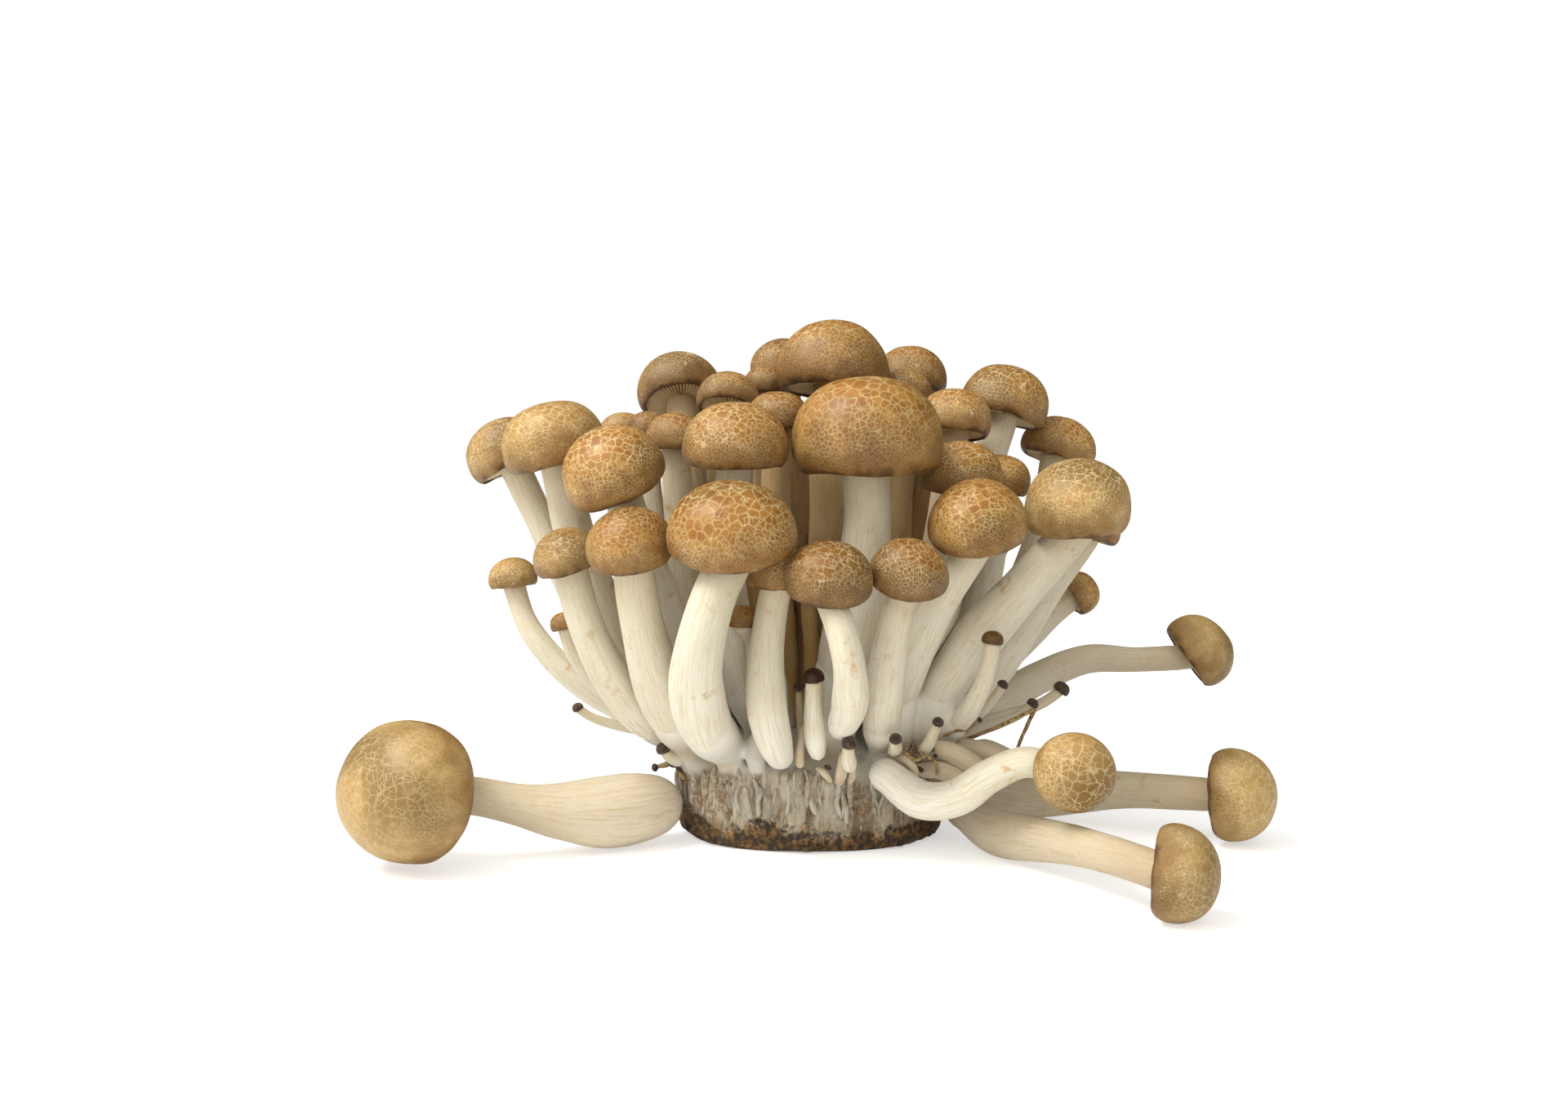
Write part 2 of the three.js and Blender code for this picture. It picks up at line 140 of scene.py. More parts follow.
def joined_mesh(node):
    """The node's points in mm, with equal points joined, and each point's neighbours."""
    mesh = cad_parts[node].data
    places = np.empty(len(mesh.vertices) * 3)
    mesh.vertices.foreach_get("co", places)
    points, same = np.unique(np.round(places.reshape(-1, 3) / MM, 2), axis=0, return_inverse=True)
    same = same.ravel()
    near = [set() for _ in points]
    for edge in mesh.edges:
        a, b = (int(same[v]) for v in edge.vertices)
        if a != b:
            near[a].add(b)
            near[b].add(a)
    return points, near


def cap_pole(points, near):
    """The point at the top of the cap, and the number of sides of the rings round it."""
    best = None
    for sides in (10, 8):
        for i, around in enumerate(near):
            if len(around) != sides or any(len(near[j]) > 7 for j in around):
                continue
            reach = np.linalg.norm(points[list(around)] - points[i], axis=1)
            away = np.linalg.norm(points[i] - (0, 0, 20))
            if reach.std() < 0.03 * reach.mean() and (best is None or away > best[0]):
                best = away, i, sides
    return best[1], best[2]


def rings_from(pole, near):
    """The rings of points at one, two, three... edges from the pole."""
    rings, seen = [[pole]], {pole}
    while rings[-1]:
        rings.append(sorted({j for i in rings[-1] for j in near[i]} - seen))
        seen.update(rings[-1])
    return rings[:-1]


def grown(node, key):
    """A mushroom's cap and stem, as the CAD node has them."""
    points, near = joined_mesh(node)
    pole, sides = cap_pole(points, near)
    rings = rings_from(pole, near)
    top = points[pole]
    first = points[rings[1]]
    axis = unit(top - first.mean(0))
    radius = np.linalg.norm(first - first.mean(0), axis=1).mean() / np.cos(np.radians(CAD_FIRST_RING))
    levels = [k for k in CAD_STEM_RINGS if k < len(rings) and len(rings[k]) == sides]
    centres = np.array([points[rings[k]].mean(0) for k in levels])
    radii = np.array([np.linalg.norm(points[rings[k]] - c, axis=1).mean() for k, c in zip(levels, centres)])
    neck = top - CAD_DOME * radius * axis
    if levels[0] != CAD_STEM_RINGS[0]:
        levels = [CAD_STEM_RINGS[0], *levels]
        centres = np.vstack([neck, centres])
        radii = np.r_[radii[0], radii]
    line = np.stack([np.interp(CAD_STEM_RINGS, levels, centres[:, i]) for i in range(3)], 1)
    step = (centres[-1] - centres[-2]) * 0.5
    for k in range(levels[-1] + 1, CAD_STEM_RINGS[-1] + 1):
        line[k - CAD_STEM_RINGS[0]] = centres[-1] + step * (k - levels[-1])
    side = unit(np.cross((0.31, 0.95, 0.05) if abs(axis[2]) > 0.5 else (0, 0, 1), axis))
    return SimpleNamespace(
        name=node, key=key, axis=axis, side=side, other=np.cross(axis, side), radius=radius, neck=neck,
        centres=line, middle=line[len(line) // 2], radii=np.interp(CAD_STEM_RINGS, levels, radii),
        random=np.random.default_rng(key),
    )  # fmt: skip


# ---- Making pieces -------------------------------------------------


def tube_faces(rows, around, closed=False):
    """Quads between rows of points that go round. A closed tube joins its last row to its first."""
    i = np.arange(rows if closed else rows - 1)[:, None]
    j = np.arange(around)[None, :]
    below, right = (i + 1) % rows, (j + 1) % around
    quads = np.stack(np.broadcast_arrays(
        i * around + j, below * around + j, below * around + right, i * around + right), -1)
    return quads.reshape(-1, 4).tolist()


def capped(rows, around):
    """Tube faces with one point before the first row and one after the last."""
    start, end = rows * around, rows * around + 1
    last = (rows - 1) * around
    faces = tube_faces(rows, around)
    for j in range(around):
        right = (j + 1) % around
        faces.append([start, j, right])
        faces.append([last + j, end, last + right])
    return faces


def together(shapes):
    """The points and faces of several shapes, as one shape's."""
    points, faces, start = [], [], 0
    for some_points, some_faces in shapes:
        points.append(some_points)
        faces += [[v + start for v in face] for face in some_faces]
        start += len(some_points)
    return np.vstack(points), faces


def make_piece(name, points, faces, slot, values=None, nodes=()):
    """A smooth mesh on the one body, with its finish and the values that its material reads."""
    mesh = bpy.data.meshes.new(name)
    mesh.from_pydata((np.asarray(points) * MM).tolist(), [], faces)
    mesh.shade_smooth()
    for key, numbers in (values or {}).items():
        numbers = np.asarray(numbers, np.float32)
        kind = "FLOAT_VECTOR" if numbers.ndim == 2 else "FLOAT"
        layer = mesh.attributes.new(key, kind, "POINT")
        layer.data.foreach_set("vector" if numbers.ndim == 2 else "value", numbers.ravel())
    mesh.materials.append(PAINT[slot])
    piece = bpy.data.objects.new(name, mesh)
    bpy.context.scene.collection.objects.link(piece)
    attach(piece, "root")
    if nodes:
        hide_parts(*nodes)


def above_floor(points):
    """The points, with none below the floor."""
    points[:, 2] = np.maximum(points[:, 2], 0.03)
    return points


# ---- Camera, floor and light ---------------------------------------


def colour(red, green, blue):
    """A screen colour, 0 to 255, as the linear colour that a shader takes."""
    share = np.array([red, green, blue]) / 255
    return (*np.where(share <= 0.04045, share / 12.92, ((share + 0.055) / 1.055) ** 2.4), 1.0)


def set_inputs(node, values):
    for key, value in values.items():
        node.inputs[key].default_value = value


def make_camera():
    data = bpy.data.cameras.new("camera")
    data.lens = CAMERA_LENS
    camera = bpy.data.objects.new("camera", data)
    camera.location = CAMERA_PLACE
    camera.rotation_euler = Euler(np.radians((90 - CAMERA_TILT, 0, 0)))
    bpy.context.scene.collection.objects.link(camera)
    bpy.context.scene.camera = camera


def make_floor():
    """A white floor that glows, more for the camera than for the object."""
    mesh = bpy.data.meshes.new("floor")
    corners = [(-1, -1), (1, -1), (1, 1), (-1, 1)]
    mesh.from_pydata([(x * FLOOR_REACH, y * FLOOR_REACH, 0) for x, y in corners], [], [(0, 1, 2, 3)])
    material = bpy.data.materials.new("floor")
    material.use_nodes = True
    shader = material.node_tree.nodes["Principled BSDF"]
    set_inputs(shader, {"Base Color": (0.92, 0.92, 0.92, 1), "Roughness": 0.9})
    set_inputs(shader, {"Emission Color": (1, 1, 1, 1)})
    tree = material.node_tree
    path = tree.nodes.new("ShaderNodeLightPath")
    glow = tree.nodes.new("ShaderNodeMapRange")
    set_inputs(glow, {"To Min": 0.12, "To Max": 0.5})
    tree.links.new(path.outputs["Is Camera Ray"], glow.inputs["Value"])
    tree.links.new(glow.outputs[0], shader.inputs["Emission Strength"])
    mesh.materials.append(material)
    floor = bpy.data.objects.new("floor", mesh)
    bpy.context.scene.collection.objects.link(floor)


def make_light(name, place, aim, size, power, tint):
    data = bpy.data.lights.new(name, "AREA")
    data.shape = "DISK"
    data.size = size
    data.energy = power
    data.color = tint
    light = bpy.data.objects.new(name, data)
    light.location = place
    direction = Vector(aim) - Vector(place)
    light.rotation_euler = direction.to_track_quat("-Z", "Y").to_euler()
    bpy.context.scene.collection.objects.link(light)


def make_world():
    """A white studio: the camera sees plain white, and the object gets a softer share of it."""
    world = bpy.data.worlds.new("studio")
    bpy.context.scene.world = world
    world.use_nodes = True
    tree = world.node_tree
    seen = tree.nodes["Background"]
    set_inputs(seen, {"Strength": 1.0, "Color": (1, 1, 1, 1)})
    around = tree.nodes.new("ShaderNodeBackground")
    set_inputs(around, {"Color": (1.0, 0.99, 0.95, 1)})
    place = tree.nodes.new("ShaderNodeTexCoord")
    towards = tree.nodes.new("ShaderNodeVectorMath")
    towards.operation = "DOT_PRODUCT"
    set_inputs(towards, {1: unit(np.array(BRIGHT_SIDE))})
    level = tree.nodes.new("ShaderNodeMapRange")
    set_inputs(level, {"From Min": -0.3, "From Max": 1.0, "To Min": 0.06, "To Max": 1.32})
    tree.links.new(place.outputs["Generated"], towards.inputs[0])
    tree.links.new(towards.outputs["Value"], level.inputs["Value"])
    tree.links.new(level.outputs[0], around.inputs["Strength"])
    path = tree.nodes.new("ShaderNodeLightPath")
    mix = tree.nodes.new("ShaderNodeMixShader")
    tree.links.new(path.outputs["Is Camera Ray"], mix.inputs[0])
    tree.links.new(around.outputs[0], mix.inputs[1])
    tree.links.new(seen.outputs[0], mix.inputs[2])
    tree.links.new(mix.outputs[0], tree.nodes["World Output"].inputs[0])


make_camera()
make_floor()
make_world()
make_light("key", (-0.45, -0.22, 0.7), aim=(0, 0, 0.06), size=0.42, power=5.5, tint=(1.0, 0.99, 0.96))
bpy.context.scene.view_settings.view_transform = "Standard"

# ---- Materials -----------------------------------------------------


class Paint:
    """A procedural material, with short ways to add its nodes."""

    def __init__(self, name, roughness, specular=0.35, sheen=0.0, soft=0.0):
        self.material = bpy.data.materials.new(name)
        self.material.use_nodes = True
        self.tree = self.material.node_tree
        self.shader = self.tree.nodes["Principled BSDF"]
        set_inputs(self.shader, {
            "Roughness": roughness, "Specular IOR Level": specular, "Sheen Weight": sheen,
            "Subsurface Weight": soft, "Subsurface Radius": (1.0, 0.6, 0.3), "Subsurface Scale": 0.0015,
        })  # fmt: skip

    def put(self, value, socket):
        """Links a socket's value, or sets a plain one."""
        if isinstance(value, bpy.types.NodeSocket):
            self.tree.links.new(value, socket)
        else:
            socket.default_value = value

    def add(self, kind, inputs, **settings):
        node = self.tree.nodes.new(kind)
        for key, value in settings.items():
            setattr(node, key, value)
        for key, value in inputs.items():
            self.put(value, node.inputs[key])
        return node

    def value(self, name, output="Fac"):
        """A value that the mesh carries."""
        return self.add("ShaderNodeAttribute", {}, attribute_name=name).outputs[output]

    def stretch(self, vector, scale):
        return self.add("ShaderNodeMapping", {"Vector": vector, "Scale": scale}).outputs[0]

    def place(self):
        """Each point's place on the object, in mm."""
        return self.stretch(self.add("ShaderNodeTexCoord", {}).outputs["Object"], (1 / MM, 1 / MM, 1 / MM))

    def noise(self, vector, scale, detail=2.0, roughness=0.5):
        inputs = {"Vector": vector, "Scale": scale, "Detail": detail, "Roughness": roughness}
        return self.add("ShaderNodeTexNoise", inputs).outputs[0]

    def cells(self, vector, scale, feature="F1", output="Distance"):
        kind = {"feature": feature, "voronoi_dimensions": "2D"}
        return self.add("ShaderNodeTexVoronoi", {"Vector": vector, "Scale": scale}, **kind).outputs[output]

    def web(self, vector, scale):
        """How far inside a rounded cell each point is, from 0 on the web between the cells."""
        return self.maths("SUBTRACT", self.cells(vector, scale, "F2"), self.cells(vector, scale, "F1"))

    def ramp(self, value, low, high, start=0.0, end=1.0):
        inputs = {"Value": value, "From Min": low, "From Max": high, "To Min": start, "To Max": end}
        return self.add("ShaderNodeMapRange", inputs, interpolation_type="SMOOTHSTEP").outputs[0]

    def maths(self, operation, a, b=0.0):
        return self.add("ShaderNodeMath", {0: a, 1: b}, operation=operation).outputs[0]

    def times(self, a, b):
        return self.maths("MULTIPLY", a, b)

    def plus(self, a, b):
        return self.maths("ADD", a, b)

    def mix(self, share, a, b, kind="MIX"):
        node = self.add("ShaderNodeMix", {0: share, 6: a, 7: b}, data_type="RGBA", blend_type=kind)
        return node.outputs[2]

    def bent(self, vector, scale, amount):
        """The vector, pushed about by noise."""
        kind = "ShaderNodeVectorMath"
        wobble = self.add("ShaderNodeTexNoise", {"Vector": vector, "Scale": scale, "Detail": 2.0})
        centred = self.add(kind, {0: wobble.outputs["Color"], 1: (0.5, 0.5, 0.5)}, operation="SUBTRACT")
        scaled = self.add(kind, {0: centred.outputs[0], "Scale": amount}, operation="SCALE")
        return self.add(kind, {0: vector, 1: scaled.outputs[0]}, operation="ADD").outputs[0]

    def finish(self, base, height, depth, roughness=None):
        """Sets the colour, and the bump as a height map whose full range is depth mm."""
        self.put(base, self.shader.inputs["Base Color"])
        if roughness is not None:
            self.put(roughness, self.shader.inputs["Roughness"])
        bump = self.add("ShaderNodeBump", {"Height": height, "Strength": 1.0, "Distance": depth * MM})
        self.put(bump.outputs[0], self.shader.inputs["Normal"])
        return self.material


def cap_paint():
    """Brown skin split into rounded islands by a fine pale web, which gets finer towards the margin."""
    p = Paint("cap_skin", 0.4, specular=0.4, soft=0.05)
    skin = p.value("skin", "Vector")
    grade = p.value("grade")
    dark = p.value("dark")
    plain = p.value("plain")
    faded = p.value("faded")
    warped = p.bent(p.bent(skin, 0.4, 1.1), 1.5, 0.55)
    island_scale = 0.54
    islands = p.web(warped, island_scale)
    island_colours = p.cells(warped, island_scale, output="Color")
    medium = p.web(p.bent(skin, 1.0, 0.35), 0.9)
    fine = p.web(p.bent(skin, 2.2, 0.3), 2.3)
    dust = p.noise(skin, 2.6, 3.0, 0.7)
    patches = p.noise(skin, 0.11, 2.0)
    blotches = p.noise(skin, 0.3, 3.0, 0.6)
    shade = p.noise(skin, 0.045, 1.0)

    height = p.plus(grade, p.ramp(patches, 0.3, 0.7, -0.14, 0.14))
    lower = p.ramp(height, 0.35, 0.85)
    broken = p.ramp(dust, 0.34, 0.5, 0.75, 1.0)
    split = p.ramp(p.noise(skin, 0.5, 1.0), 0.46, 0.56, 0.05, 0.75)
    split = p.maths("MAXIMUM", split, p.ramp(lower, 0.0, 0.6, 0.0, 1.0))
    big_web = p.times(p.ramp(islands, 0.02, 0.11, 0.9, 0.0), p.ramp(lower, 0.0, 1.0, 1.0, 0.6))
    mid_web = p.times(p.ramp(medium, 0.05, 0.2, 1.0, 0.0), split)
    fine_web = p.times(p.ramp(fine, 0.06, 0.3, 1.0, 0.0), p.ramp(height, 0.4, 0.95, 0.0, 0.3))
    web = p.maths("MAXIMUM", big_web, p.times(mid_web, broken))
    web = p.maths("MAXIMUM", web, p.times(fine_web, broken))
    worn = p.ramp(p.noise(skin, 0.16, 2.0), 0.34, 0.6, 0.6, 1.0)
    pale = p.times(web, p.times(worn, plain))

    separate = p.add("ShaderNodeSeparateColor", {"Color": island_colours}).outputs[0]
    island = p.mix(p.ramp(blotches, 0.3, 0.7), colour(156, 100, 30), colour(178, 128, 52))
    island = p.mix(p.times(separate, 0.7), island, colour(140, 82, 16))
    island = p.mix(p.ramp(islands, 0.08, 0.5, 0.4, 0.0), island, colour(186, 142, 66))
    tan = p.mix(p.ramp(blotches, 0.35, 0.65), colour(142, 98, 28), colour(170, 128, 50))
    base = p.mix(p.times(lower, 0.85), island, tan)
    pale_tan = p.mix(p.ramp(blotches, 0.3, 0.7), colour(190, 162, 100), colour(206, 178, 124))
    base = p.mix(faded, base, pale_tan)
    base = p.mix(p.ramp(shade, 0.46, 0.66, 0.0, 0.6), base, colour(100, 70, 14))
    base = p.mix(p.times(pale, 0.92), base, colour(224, 204, 156))
    frost = p.times(p.ramp(dust, 0.5, 0.62), p.ramp(grade, 0.6, 0.95, 0.0, 0.4))
    base = p.mix(frost, base, colour(206, 184, 142))
    grit = p.times(p.ramp(dust, 0.46, 0.36), p.ramp(grade, 0.6, 0.97, 0.05, 0.6))
    base = p.mix(grit, base, colour(104, 70, 26))
    # Painted shade: the cap is darker where its rolled edge turns under.
    rim_shade_line = p.plus(grade, p.ramp(patches, 0.3, 0.7, -0.05, 0.05))
    base = p.mix(p.ramp(rim_shade_line, 0.93, 1.0, 0.0, 0.75), base, colour(92, 66, 38))
    # Painted shade: the cap is darker towards its margin, away from the light above.
    base = p.mix(p.ramp(height, 0.5, 0.98, 0.0, 0.8), base, colour(190, 160, 104), "MULTIPLY")
    # How dark the cap is: its own colour, and on crown and back caps also painted shade.
    base = p.mix(dark, base, colour(92, 62, 38), "MULTIPLY")
    relief = p.plus(p.times(pale, -0.5), p.times(dust, 0.5))
    return p.finish(base, relief, 0.1, p.ramp(pale, 0.0, 1.0, 0.42, 0.6))


def gill_paint():
    p = Paint("gills", 0.7, soft=0.1)
    grade = p.value("grade")
    grain = p.noise(p.value("fibre", "Vector"), 1.5, 3.0)
    # Painted shade: darker deep between the gills and on the flat back inside the cap, paler on the gill
    # edges.
    base = p.mix(grade, colour(168, 138, 96), colour(226, 208, 172))
    base = p.mix(p.ramp(grain, 0.35, 0.7, 0.0, 0.35), base, colour(196, 166, 120))
    return p.finish(base, grain, 0.05)


def stem_paint():
    """Cream flesh with fine lengthwise fibres, tan stains, a mealy neck under the cap, and painted shade
    that darkens stems deep in the cluster and partly greys their feet.
    """
    p = Paint("stem", 0.52, sheen=0.1, soft=0.2)
    fibre = p.value("fibre", "Vector")
    grade = p.value("grade")
    stained = p.value("stained")
    warm = p.value("warm")
    strands = p.noise(p.stretch(p.bent(fibre, 0.2, 0.6), (2.4, 2.4, 0.12)), 1.0, 3.0, 0.6)
    threads = p.noise(p.stretch(fibre, (6.0, 6.0, 0.5)), 1.0, 2.0, 0.6)
    meal = p.noise(fibre, 3.5, 3.0, 0.7)
    clouds = p.noise(fibre, 0.12, 2.0)
    spots = p.noise(fibre, 0.28, 3.0, 0.65)
    base = p.mix(p.ramp(grade, 0.1, 0.85), colour(231, 227, 213), colour(223, 216, 194))
    base = p.mix(p.ramp(clouds, 0.45, 0.7, 0.0, 0.35), base, colour(216, 204, 172))
    base = p.mix(p.ramp(strands, 0.46, 0.68, 0.0, 0.55), base, colour(206, 188, 146))
    base = p.mix(p.ramp(threads, 0.52, 0.7, 0.0, 0.45), base, colour(242, 239, 228))
    stain = p.times(p.ramp(spots, 0.58, 0.72), p.ramp(grade, 0.2, 0.6, 0.15, 0.75))
    base = p.mix(p.times(stain, stained), base, colour(196, 156, 98))
    speck = p.times(p.ramp(meal, 0.6, 0.68), p.ramp(grade, 0.45, 0.95, 0.0, 0.55))
    base = p.mix(speck, base, colour(168, 146, 116))
    neck = p.times(p.ramp(grade, 0.74, 0.98), p.ramp(threads, 0.4, 0.62, 0.15, 0.7))
    base = p.mix(neck, base, colour(206, 184, 150))
    # Tans the stem, and darkens it as painted shade where it stands deep among the others.
    base = p.mix(warm, base, colour(200, 168, 118), "MULTIPLY")
    # Greyer at the foot, like the block's white mass: partly painted shade low in the cluster.
    base = p.mix(p.ramp(grade, 0.14, 0.0, 0.0, 0.6), base, colour(210, 207, 198))
    height = p.plus(p.times(strands, 0.6), p.times(threads, 0.25))
    height = p.plus(height, p.times(meal, p.ramp(grade, 0.4, 1.0, 0.1, 0.6)))
    return p.finish(base, height, 0.22)


def pin_paint():
    """The nearly black skin of a mushroom that has only just started."""
    p = Paint("pin_cap", 0.6, sheen=0.2)
    grain = p.noise(p.place(), 1.6, 4.0, 0.65)
    base = p.mix(p.ramp(grain, 0.35, 0.7), colour(38, 27, 20), colour(92, 68, 46))
    return p.finish(base, grain, 0.25)


def block_paint():
    """Grey-white mycelium in upright strands, with brown patches, a dark crust at its bottom edge, and a
    white mass that is painted grey low down as painted shade.
    """
    p = Paint("root_block", 0.8)
    place = p.place()
    parts = p.add("ShaderNodeSeparateXYZ", {0: place}).outputs
    across, height = parts[0], parts[2]
    left = p.ramp(across, -8.0, -24.0, 0.0, 0.07)
    flesh = p.value("flesh")
    strands = p.noise(p.stretch(p.bent(place, 0.12, 5.0), (0.34, 0.34, 0.05)), 1.0, 3.0, 0.55)
    threads = p.noise(p.stretch(p.bent(place, 0.3, 1.5), (1.3, 1.3, 0.13)), 1.0, 2.0, 0.5)
    patches = p.noise(place, 0.075, 3.0, 0.6)
    crumbs = p.noise(place, 0.8, 4.0, 0.7)
    base = p.mix(p.ramp(strands, 0.36, 0.56), colour(122, 104, 78), colour(176, 166, 146))
    base = p.mix(p.ramp(threads, 0.5, 0.68, 0.0, 0.6), base, colour(200, 193, 177))
    base = p.mix(p.ramp(threads, 0.42, 0.32, 0.0, 0.5), base, colour(128, 104, 76))
    stain = p.times(p.ramp(p.plus(patches, left), 0.5, 0.62), p.ramp(crumbs, 0.4, 0.58))
    base = p.mix(p.times(stain, 0.85), base, colour(112, 86, 58))
    holes = p.times(p.ramp(strands, 0.42, 0.34), p.ramp(crumbs, 0.5, 0.6))
    base = p.mix(holes, base, colour(58, 40, 26))
    rust = p.times(p.ramp(crumbs, 0.56, 0.66), p.ramp(height, 14.0, 4.0, 0.0, 0.7))
    base = p.mix(rust, base, colour(184, 132, 70))
    ends = p.ramp(p.maths("ABSOLUTE", across), 16.0, 28.0, 0.0, -3.0)
    crust_line = p.plus(p.plus(height, ends), p.ramp(patches, 0.3, 0.7, -2.5, 2.5))
    crust = p.ramp(p.plus(crust_line, p.ramp(crumbs, 0.3, 0.7, -1.5, 1.5)), 6.6, 3.2)
    crust_colour = p.mix(p.ramp(crumbs, 0.42, 0.66), colour(40, 27, 15), colour(124, 90, 46))
    base = p.mix(p.times(crust, 0.95), base, crust_colour)
    # Painted shade: the white mass is painted grey low down, under the overhanging caps, and whiter towards
    # the crown.
    white = p.mix(p.ramp(patches, 0.4, 0.7), colour(204, 201, 193), colour(190, 178, 154))
    white = p.mix(p.ramp(height, 20.0, 27.0), white, colour(230, 226, 212))
    soil = p.times(p.ramp(across, 8.0, 20.0), p.ramp(height, 25.0, 20.0))
    soil = p.times(soil, p.ramp(crumbs, 0.4, 0.55, 0.2, 0.85))
    white = p.mix(soil, white, colour(120, 92, 58))
    base = p.mix(flesh, base, white)
    rough = p.plus(p.times(strands, 0.6), p.times(crumbs, 0.5))
    calm = p.times(rough, p.ramp(flesh, 0.0, 1.0, 1.0, 0.15))
    return p.finish(base, calm, 0.45)


def debris_paint():
    p = Paint("debris", 0.75)
    grain = p.noise(p.stretch(p.place(), (2.0, 2.0, 0.8)), 1.0, 4.0, 0.6)
    base = p.mix(p.ramp(grain, 0.35, 0.65), colour(104, 76, 44), colour(190, 160, 112))
    return p.finish(base, grain, 0.2)


PAINT = {
    "cap_skin": cap_paint(), "gills": gill_paint(), "stem": stem_paint(),
    "pin_cap": pin_paint(), "root_block": block_paint(), "debris": debris_paint(),
}  # fmt: skip

# ---- Caps ----------------------------------------------------------

# The margin, from the widest ring round the in-rolled edge to the flesh over the gills: (radius, height) in
# cap radii over the neck.
MARGIN = [(1.0, 0.27), (0.993, 0.18), (0.972, 0.095), (0.937, 0.025), (0.892, -0.03), (0.85, -0.045),
          (0.82, -0.01), (0.81, 0.06), (0.76, 0.16), (0.5, 0.22), (0.15, 0.24)]  # fmt: skip


def deepened(height, deep):
    """Heights under a cap's widest ring, with their distance under it scaled by deep."""
    return MARGIN[0][1] + (height - MARGIN[0][1]) * deep


def cap_profile(square, deep):
    """Half of a cap's outline, from near the top to the middle of the underside."""
    angle = np.radians(np.linspace(88, 0, DOME_ROWS))
    power = 2 / (2 + square)
    widest = MARGIN[0][1]
    dome = np.stack([np.cos(angle) ** power, widest + (CAD_DOME - widest) * np.sin(angle) ** power], 1)
    margin = through(MARGIN, MARGIN_ROWS)
    margin[:, 1] = deepened(margin[:, 1], deep)
    return np.vstack([dome[:-1], margin])


def cap_shape(m):
    """A lobed, slightly dented dome with a rolled edge, and the values its skin reads."""
    profile = cap_profile(m.square, m.deep)
    arc = np.r_[0, np.cumsum(np.linalg.norm(np.diff(profile, axis=0), axis=1))]
    rim = arc[LOWEST_ROW]
    out, up = profile[:, :1], profile[:, 1:]
    angle = np.linspace(0, 2 * np.pi, CAP_AROUND, endpoint=False)[None, :]
    loose = blend(0.2, 1.0, arc / rim)[:, None]
    lobes = 0.05 * ripple(angle, 3, m.key) + 0.018 * ripple(angle, 8, m.key + 1)
    out = out * (1 + loose * lobes)
    up = up + loose * (0.05 * ripple(angle, 3, m.key + 2) + 0.02 * ripple(angle, 9, m.key + 3))
    across, back = out * np.cos(angle) * (1 + m.oval), out * np.sin(angle) * (1 - m.oval)
    local = np.stack([across, back, up + 0 * out], -1).reshape(-1, 3)
    ends = [[0, 0, profile[0, 1] + 0.001], [0, 0, profile[-1, 1]]]
    local = np.vstack([local, ends]) * m.radius
    outward = local - [0, 0, 0.2 * m.radius]
    outward /= np.linalg.norm(outward, axis=1)[:, None] + 1e-9
    share = np.r_[np.repeat(arc / rim, CAP_AROUND), 0, arc[-1] / rim]
    upper = blend(1.25, 1.0, share)
    shifted = local + 100
    dents = 0.022 * noise(shifted, 0.8 * m.radius, m.key) + 0.008 * noise(shifted, 0.3 * m.radius, m.key)
    local = local + outward * (dents * m.radius * upper)[:, None]
    tilt = np.arctan2(np.hypot(local[:, 0], local[:, 1]), local[:, 2] - 0.1 * m.radius)
    flat = 2 * m.radius * np.tan(np.minimum(tilt, 2.2) / 2)
    turn = np.arctan2(local[:, 1], local[:, 0])
    skin = np.stack([flat * np.cos(turn), flat * np.sin(turn), np.zeros_like(turn)], 1) / m.cell
    skin = skin + m.random.uniform(-300, 300, 3)
    points = above_floor(m.neck + local @ np.array([m.side, m.other, m.axis]))
    values = {"skin": skin, "grade": share}
    values.update({key: np.full(len(points), getattr(m, key)) for key in ("dark", "plain", "faded")})
    return points, capped(len(profile), CAP_AROUND), values


def gill_shape(m):
    """Thin gills from the stem to the margin, as one pleated ring with a flat back inside the cap."""
    gill_rows, back_rows = 7, (6, 3, 0)
    gills = max(24, int(2 * np.pi * 0.82 * m.radius / GILL_PITCH))
    inner = m.radii[0] / m.radius * 0.9
    angle = np.repeat(np.arange(gills), 4) + np.tile([0.0, 0.26, 0.42, 0.84], gills)
    angle = angle / gills * 2 * np.pi
    upper = np.tile([0.0, 0.0, 1.0, 1.0], gills)
    out = np.linspace(inner, 0.83, gill_rows)
    t = (out - inner) / (out[-1] - inner)
    low = 0.005 + 0.05 * (1 - t) ** 2 - 0.02 * np.sin(np.pi * t)
    fold = 0.09 * np.sin(np.pi * np.clip(t, 0.1, 0.93)) ** 0.5
    low = deepened(low, m.deep)
    rows = [np.stack([np.full_like(angle, r), low[k] + upper * fold[k]], 1) for k, r in enumerate(out)]
    back = low + fold + 0.05
    rows += [np.stack([np.full_like(angle, out[k]), np.full_like(angle, back[k])], 1) for k in back_rows]
    rows = np.array(rows)[::-1]
    turn = angle + 0.02 * ripple(angle, 9, m.key + 5)
    local = np.stack([rows[..., 0] * np.cos(turn), rows[..., 0] * np.sin(turn), rows[..., 1]], -1)
    # 1 on the gill edges and 0 deep between the gills and on the back; the gill paint darkens the deep
    # parts as painted shade.
    depth = np.tile(1 - upper, (len(rows), 1))
    depth[: len(back_rows)] = 0
    local = local.reshape(-1, 3) * m.radius
    points = above_floor(m.neck + local @ np.array([m.side, m.other, m.axis]))
    values = {"fibre": local + m.key * 13.0, "grade": depth.ravel()}
    return points, tube_faces(len(rows), len(angle), closed=True), values


# ---- Stems ---------------------------------------------------------


